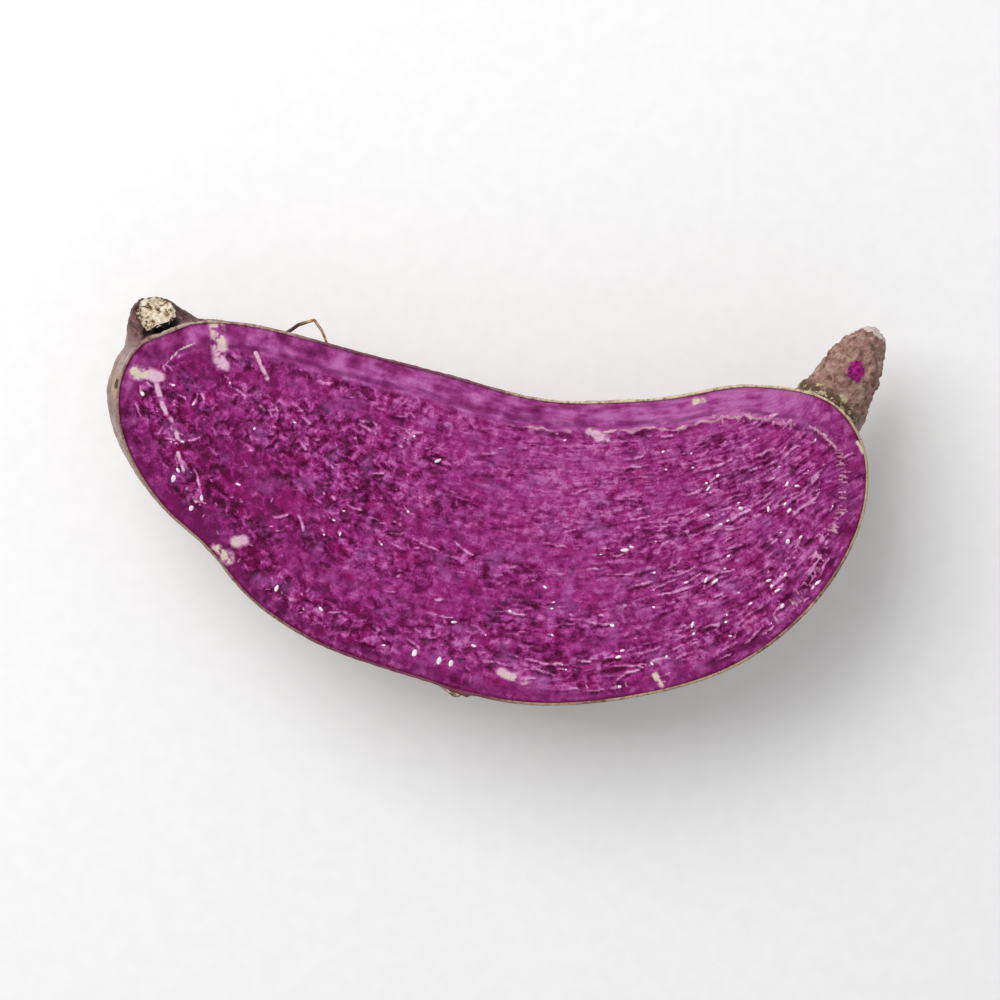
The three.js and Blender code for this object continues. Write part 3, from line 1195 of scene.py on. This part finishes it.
def make_flesh():
    """The flesh. Also gives the way that its fibres run, and the strands on its cut face."""
    points, faces, outline, fill = closed_flesh()
    cut = slice(len(points) - len(fill), None)
    field = FibreField(outline[::2], NECK_TIP[:2], TAIL_TIP[:2])
    along, across = field.at(points[:, :2])
    fibres = np.column_stack([along * LENGTH, across * RADIUS, np.zeros(len(points))])
    rim = np.zeros(len(points))
    rim[cut] = to_outline(fill, outline)[0]
    ring = ring_distances(points[:, :2], along, across, rim)
    marks = np.zeros((len(points), 3))
    marks[cut], strands = cut_marks(field, fill, fibres[cut], ring[cut])
    relief = np.zeros(len(points))
    relief[cut] = cut_relief(fill, fibres[cut], marks[cut].T, rim[cut], ring[cut])
    points[:, 2] += relief

    flesh = piece_of("flesh", points, faces, [FleshLook().made()])
    for name, values in {
        "fibre_space": fibres,
        "marks": marks,
        "rim_distance": rim,
        "ring_distance": ring,
        "relief": relief,
        "tone": slow_tone(points[:, :2], ring),
        "trace": traces_at(points[:, :2]),
        "torn": torn(points[:, :2], fibres),
    }.items():
        store(flesh, name, values)
    return flesh, field, strands


# ---- The peel ----


class Root:
    """The root as a bent body: how far along it a point of the skin is, and how far round it."""

    def __init__(self, field):
        outer = field.values[:, 1] < 0
        shares = np.linspace(0.04, 0.96, 60)
        sides = []
        for side in (outer, ~outer):
            order = np.argsort(field.values[side, 0])
            places = field.outline[side][order]
            at = field.values[side, 0][order]
            sides.append(np.column_stack([np.interp(shares, at, c) for c in places.T]))
        middle = (sides[0] + sides[1]) / 2
        steps = np.arange(1, 13)[:, None]
        before = middle[0] + (middle[0] - middle[1]) * steps[::-1]
        after = middle[-1] + (middle[-1] - middle[-2]) * steps
        self.spine = np.vstack([before, middle, after])
        lengths = np.linalg.norm(np.diff(self.spine, axis=0), axis=1)
        self.travelled = np.concatenate([[0], np.cumsum(lengths)])

    def at(self, points):
        """Millimetres along and round for each point, and a slow wander that keeps noise uneven."""
        apart = ((points[:, None, :2] - self.spine) ** 2).sum(axis=2)
        shares = np.exp((apart.min(axis=1, keepdims=True) - apart) / (2 * SPINE_BLUR**2))
        shares /= shares.sum(axis=1, keepdims=True)
        along, nearest = shares @ self.travelled, shares @ self.spine
        away = np.linalg.norm(points[:, :2] - nearest, axis=1)
        hollow_side = np.where(points[:, 1] > nearest[:, 1], away, -away)
        turn = np.arctan2(CUT - points[:, 2], hollow_side)
        return np.column_stack([along, turn * RADIUS, 1.4 + 0.6 * lumps(points, 16.0, 2, 71.0)])


def choose_eyes(points):
    """Places and sizes of the eyes: the set ones, and others scattered over the skin."""
    dice = random.Random(EYE_SEED)
    chosen = [np.array(place, float) for place in SET_EYES]
    free = [
        place
        for place in points[dice.sample(range(len(points)), 3000)]
        if 1.0 < place[2] < CUT - 4.5
        and np.linalg.norm(place - NECK_TIP) > 15
        and np.linalg.norm(place - TAIL_TIP) > 20
    ]
    for place in free:
        if min(np.linalg.norm(place - other) for other in chosen) > EYE_SPACING:
            chosen.append(place)
        if len(chosen) == EYE_COUNT:
            break
    return [(place, dice.uniform(0.6, 1.3)) for place in chosen]


def eye_distances(points, eyes, tree):
    """How far each point is from the nearest eye, in units of its size. Eyes are wide across."""
    result = np.full(len(points), 50.0)
    for place, size in eyes:
        near = distances(points, place) < 9
        middle = Vector(place.tolist())
        _, normal, _, _ = tree.find_nearest(middle)
        round_root = np.cross([1.0, -0.15, 0.0], normal)
        round_root /= np.linalg.norm(round_root)
        away = points[near] - place
        squared = (away**2).sum(1) - 0.62 * (away @ round_root) ** 2
        result[near] = np.minimum(result[near], np.sqrt(np.maximum(squared, 0)) / size)
    return result


def peel_relief(points, root, eye, neck, tail):
    """How far the skin stands out, in millimetres."""
    dents = 0.14 * lumps(points, 8.0, 2, 9.0)
    drift = root + lumps(points, 12.0, 1, 17.0)[:, None] * [1.5, 0.0, 0.0]
    zones = ease(lumps(points, 20.0, 1, 13.0), -0.3, 0.35)
    wrinkles = -0.17 * ridges(drift, (2.4, 15.0, 1.0), 2, 19.0) * (0.3 + 0.7 * zones)
    rough = 0.05 * lumps(points, 1.5, 2, 29.0)
    eyes = 0.24 * bell(eye, 2.1, 0.9) - 0.6 * bell(eye, 0.0, 1.3)
    scales = (ridges(points, (2.4, 2.4, 2.4), 2, 37.0) - 0.5) * (0.9 * tail + 0.45 * neck)
    scales += 0.55 * lumps(points, 4.5, 2, 39.0) * tail
    return dents + (wrinkles + rough) * (1 - 0.7 * tail) + eyes + scales


def broken_end(points):
    """The neck's end, snapped off: the points moved back to a rough, pitted face, and a mask."""
    level = BREAK + 0.5 * lumps(points, 3.0, 2, 41.0)
    over = level - behind_neck_end(points)
    face = ease(over, -0.1, 0.25)
    pits = ease(ridges(points, 2.6, 2, 47.0), 0.35, 0.8)
    back = np.maximum(over, 0.0) + face * pits * 1.3
    return points - NECK_AXIS * back[:, None], face


def skin_masks(points, eye):
    """Where each feature of the skin is, by name: a number for each point."""
    depth = CUT - points[:, 2]
    crack_walls = ease(to_line(points, CRACK[1:-1]), 2.1, 1.1)
    return {
        "eye_distance": eye,
        "neck": ease(distances(points, NECK_TIP), 15.0, 8.0),
        "tail": ease(distances(points, TAIL_TIP), 26.0, 18.0),
        "bare": 1.6 - distances(points, BARE_SPOT, BARE_REACH) * 0.6,
        "tip": ease(distances(points, TAIL_TIP), 6.0, 2.0),
        "base": ease(to_line(points, TAIL_BASE), 4.0, 0.5),
        "stump": ease(distances(points, STUMP, STUMP_REACH), 1.2, 0.6),
        # The walls of the crack, which the skin paints near-black: painted shade, and dark dried
        # stem.
        "crack": crack_walls * ease(depth, 0.5, 2.0) * ease(depth, 8.0, 5.5),
    }


def skin_points(points, normals, root, masks):
    """The points of the skin, moved out or in by its relief. At the rim they move level, and
    less, so that the edge stays even."""
    depth = CUT - points[:, 2]
    at_rim = ease(depth, 3.0, 0.3)
    height = peel_relief(points, root, masks["eye_distance"], masks["neck"], masks["tail"])
    height *= 1 - 0.8 * masks["crack"]
    height += masks["stump"] * (0.5 + 0.8 * ridges(points, 2.2, 2, 97.0))
    height *= 1 - 0.45 * at_rim
    height = np.maximum(height, -0.2 - 0.22 * ease(depth, 3.0, 7.0)) + swell(points)
    level = units(normals * np.column_stack([np.ones((len(points), 2)), 1 - at_rim]))
    return points + level * height[:, None]


def closed_peel(outside, faces, edge):
    """The outside of the peel with its inside and its cut edge: the points, the faces, and the
    numbers of the points of the cut edge."""
    within, _, within_faces = opened(sunk(HIDDEN_FORM, peel_depth, PEEL_BEHIND_NECK), PEEL_EDGE)
    within_edge = open_loop(within_faces)
    rim, inner = outside[edge][:, :2], within[within_edge][:, :2]
    crown = (rim + to_outline(rim, inner)[1]) / 2
    lift = 0.06 + 0.06 * lumps(flat(crown), 4.0, 2, 53.0)

    every = np.concatenate([outside, within, np.column_stack([crown, PEEL_EDGE + lift])])
    first_crown = len(outside) + len(within)
    within_numbers = np.array(within_edge) + len(outside)
    numbers = np.concatenate([edge, within_numbers, np.arange(first_crown, len(every))])
    count = len(edge)
    outlines = [list(range(count)), list(range(count, count + len(within_edge)))]
    lip = triangles_of(every[numbers][:, :2], outlines)
    lip = [tuple(int(numbers[corner]) for corner in f) for f in lip]
    inner_faces = [f[::-1] for f in shifted(within_faces, len(outside))]
    return every, faces + inner_faces + lip, numbers


def make_peel(field):
    """The peel. Gives the points and faces of its outside, and its eyes, for the rootlets."""
    points, normals, faces = opened(FINE_FORM, PEEL_EDGE)
    tree = BVHTree.FromPolygons(points.tolist(), faces)
    root = Root(field).at(points)
    eyes = choose_eyes(points)
    masks = skin_masks(points, eye_distances(points, eyes, tree))
    outside, masks["wood"] = broken_end(skin_points(points, normals, root, masks))
    edge = open_loop(faces)
    outside[edge, 2] = PEEL_EDGE
    outside = np.clip(outside, LOW + PEEL_CLEAR, HIGH - PEEL_CLEAR)

    every, all_faces, edge_numbers = closed_peel(outside, faces, edge)
    material_of_face = [0] * len(faces) + [1] * (len(all_faces) - len(faces))
    looks = [SkinLook().made(), peel_edge_look()]
    peel = piece_of("peel", every, all_faces, looks, material_of_face)
    rest = len(every) - len(outside)
    store(peel, "root_space", np.vstack([root, np.zeros((rest, 3))]))
    for name, values in masks.items():
        store(peel, name, np.concatenate([values, np.zeros(rest)]))
    rim_side = np.zeros(len(every))
    rim_side[edge_numbers] = field.at(every[edge_numbers][:, :2])[1]
    store(peel, "rim_side", rim_side)
    return outside, faces, eyes


# ---- Rootlets and latex ----


def tube(path, radii, sides=6):
    """A closed tapered tube along a path: its points and its faces."""
    path = np.array(path)
    heading = units(np.gradient(path, axis=0))
    side = np.cross(heading[0], [0.31, 0.17, 0.93])
    rings = []
    for place, ahead, radius in zip(path, heading, radii):
        side = side - ahead * (side @ ahead)
        side /= np.linalg.norm(side)
        other = np.cross(ahead, side)
        turns = np.linspace(0, 2 * math.pi, sides, endpoint=False)[:, None]
        rings.append(place + radius * (np.cos(turns) * side + np.sin(turns) * other))
    points = np.concatenate(rings)
    faces = [tuple(range(sides))[::-1], tuple(range(len(points) - sides, len(points)))]
    for ring in range(len(path) - 1):
        for i in range(sides):
            a, b = ring * sides + i, ring * sides + (i + 1) % sides
            faces.append((a, b, b + sides, a + sides))
    return points, faces


def joined(parts):
    """Several sets of points and faces as one."""
    points, faces, count = [], [], 0
    for part_points, part_faces in parts:
        points.append(part_points)
        faces += shifted(part_faces, count)
        count += len(part_points)
    return np.concatenate(points), faces


def bent_rootlet():
    """The stiff rootlet that stands behind the rim on the hollow side, bent over at its top."""
    corners = [(-46.8, 35.6), (-43.4, 37.7), (-39.9, 38.8), (-38.4, 36.6), (-36.6, 32.6)]
    heights = [CUT - 3.6, CUT - 2.6, CUT - 2.2, CUT - 2.6, CUT - 3.8]
    shares = np.linspace(0, 4, 33)
    corner = np.column_stack([corners, heights])
    path = np.column_stack([np.interp(shares, range(5), c) for c in corner.T])
    path += 0.25 * np.column_stack([lumps(path, 4.0, 1, s) for s in (1.0, 2.0, 3.0)])
    radii = 0.42 - 0.16 * shares / 4
    return tube(path, radii)


def creeping_rootlet(start, dice, tree):
    """A rootlet that grows out of an eye and lies along the skin, or None where there's no room."""
    place, normal, _, _ = tree.find_nearest(Vector(start.tolist()))
    heading = normal.cross(Vector([dice.uniform(-1, 1) for _ in range(3)])).normalized()
    length = dice.uniform(6, 17)
    steps = int(length / 0.5)
    path, radii = [], []
    for step in range(steps):
        share = step / (steps - 1)
        lift = 0.1 + dice.uniform(0.2, 0.25) * math.sin(math.pi * share) * 2
        lift = lift if step else -0.3
        path.append(np.array(place + normal * lift))
        radii.append(0.17 - 0.11 * share)
        sway = normal.cross(heading) * dice.uniform(-0.35, 0.35)
        heading = (heading + sway).normalized()
        place, normal, _, _ = tree.find_nearest(place + heading * 0.5)
        heading = (heading - normal * heading.dot(normal)).normalized()
    path = np.array(path)
    room = (path > LOW + ROOTLET_CLEAR).all() and (path < HIGH - ROOTLET_CLEAR).all()
    room = room and (path[:, 2] < CUT - ROOTLET_BELOW_CUT).all()
    room = room and (distances(path, TAIL_TIP) > ROOTLET_FROM_TAIL).all()
    return tube(path, radii) if room else None


def make_rootlets(points, faces, eyes):
    """The bent rootlet, and others out of the scattered eyes where there is room."""
    tree = BVHTree.FromPolygons(points.tolist(), faces)
    dice = random.Random(ROOTLET_SEED)
    parts = [bent_rootlet()]
    for place, _ in eyes[len(SET_EYES):]:
        rootlet = creeping_rootlet(place, dice, tree)
        if rootlet:
            parts.append(rootlet)
    every, all_faces = joined(parts[:ROOTLET_COUNT])
    piece_of("rootlets", every, all_faces, [rootlet_look()])


def drop(place, radius, stretch, turn):
    """A low dome of latex, a little longer one way: its points and its faces."""
    form = bmesh.new()
    bmesh.ops.create_icosphere(form, subdivisions=2, radius=1.0)
    points = np.array([v.co for v in form.verts])
    faces = [tuple(v.index for v in f.verts) for f in form.faces]
    form.free()
    points *= 1 + 0.3 * lumps(points, 1.2, 1, place[0])[:, None]
    points *= [radius * stretch, radius, radius * 0.55]
    points[:, :2] = turned(points[:, :2], turn)
    return points + place, faces


def make_latex(flesh, strands):
    """Drops of latex on the cut face, near-white partly as painted glints: some alone, most at the
    ends of strands.
    """
    points, _, faces = arrays_of(flesh.data)
    tree = BVHTree.FromPolygons(points.tolist(), faces)
    dice = random.Random(LATEX_SEED)
    wanted = [(place, dice.uniform(0.45, 0.6), 1.5, 1.2) for place in LONE_DROPS]
    for middle, heading, half_length, half_width, _, _ in dice.sample(strands, DROP_COUNT):
        at = middle + heading * half_length * dice.uniform(0.5, 1.0)
        turn = math.atan2(heading[1], heading[0]) + dice.gauss(0, 0.4)
        wanted.append((at, half_width * dice.uniform(0.8, 1.6), dice.uniform(1.1, 2.4), turn))
    parts = []
    for (x, y), radius, stretch, turn in wanted:
        hit, _, _, _ = tree.ray_cast(Vector((x, y, CUT + 5)), Vector((0, 0, -1)))
        if hit and hit.z > FACE - 1:
            parts.append(drop(np.array(hit), radius, stretch, turn))
    every, all_faces = joined(parts)
    every[:, 2] = np.minimum(every[:, 2], HIGH[2] - LATEX_CLEAR)
    piece_of("latex_drops", every, all_faces, [latex_and_glint_look()])


# ---- Stage ----

# The camera stands this far from the cut, and leans this much to the neck end and hollow side.
CAMERA_REACH = 810
LENS = 135
LEAN_TO_NECK = math.radians(3)
LEAN_TO_HOLLOW = math.radians(4)

# The key lamp, in millimetres and watts, and the light from all round.
KEY_PLACE = (-520, 520, 800)
KEY_SIZE = 800
KEY_POWER = 9.3
AMBIENT = 0.5

# The floor reaches this far to each side, and lies a hair below the half.
FLOOR_REACH = 4000
FLOOR_DROP = 0.05


def aim(thing, place, target, up=Vector((0, 1, 0))):
    """Puts a camera or a lamp at a place, looking at the target, with up upright in its view."""
    back = (Vector(place) - Vector(target)).normalized()
    right = up.cross(back).normalized()
    turn = Matrix([right, back.cross(right), back]).transposed()
    thing.matrix_world = Matrix.LocRotScale(Vector(place) * MM, turn, None)


def add_camera():
    """The camera, which looks down on the cut."""
    camera = linked("camera", bpy.data.cameras.new("camera"))
    camera.data.lens = LENS
    target = Vector((0, 0, CUT))
    lean = Vector((-math.sin(LEAN_TO_NECK), math.sin(LEAN_TO_HOLLOW), 1)).normalized()
    aim(camera, target + lean * CAMERA_REACH, target)
    bpy.context.scene.camera = camera


def add_key():
    """The key lamp, a square that shines on the half from above."""
    lamp = bpy.data.lights.new("key", "AREA")
    lamp.size = KEY_SIZE * MM
    lamp.energy = KEY_POWER
    aim(linked("key", lamp), KEY_PLACE, (0, 0, 0))


def add_world():
    """Even light from all round, which looks white where it is seen or mirrored."""
    world = bpy.data.worlds.new("studio")
    bpy.context.scene.world = world
    nodes = Nodes(world)
    rays = nodes.tree.nodes.new("ShaderNodeLightPath").outputs
    camera, glossy, through = (
        Value(nodes, rays[name])
        for name in ("Is Camera Ray", "Is Glossy Ray", "Is Transmission Ray")
    )
    inputs = {0: camera + glossy, 1: through}
    seen = nodes.node("ShaderNodeMath", inputs, operation="ADD", use_clamp=True)
    level = nodes.node("ShaderNodeMapRange", {"Value": seen, "To Min": AMBIENT, "To Max": 1.0})
    background = nodes.tree.nodes["Background"]
    nodes.give(background.inputs["Color"], (255, 255, 255))
    nodes.give(background.inputs["Strength"], level)


def add_floor():
    """The floor that the half lies on."""
    mesh = bpy.data.meshes.new("floor")
    corners = [(-1, -1), (1, -1), (1, 1), (-1, 1)]
    reach, level = FLOOR_REACH * MM, -FLOOR_DROP * MM
    mesh.from_pydata([(x * reach, y * reach, level) for x, y in corners], [], [(0, 1, 2, 3)])
    mesh.materials.append(floor_look())
    linked("floor", mesh)


flesh, field, strands = make_flesh()
outside, outside_faces, eyes = make_peel(field)
make_rootlets(outside, outside_faces, eyes)
make_latex(flesh, strands)
add_floor()
add_key()
add_world()
add_camera()
bpy.context.scene.view_settings.view_transform = "Standard"
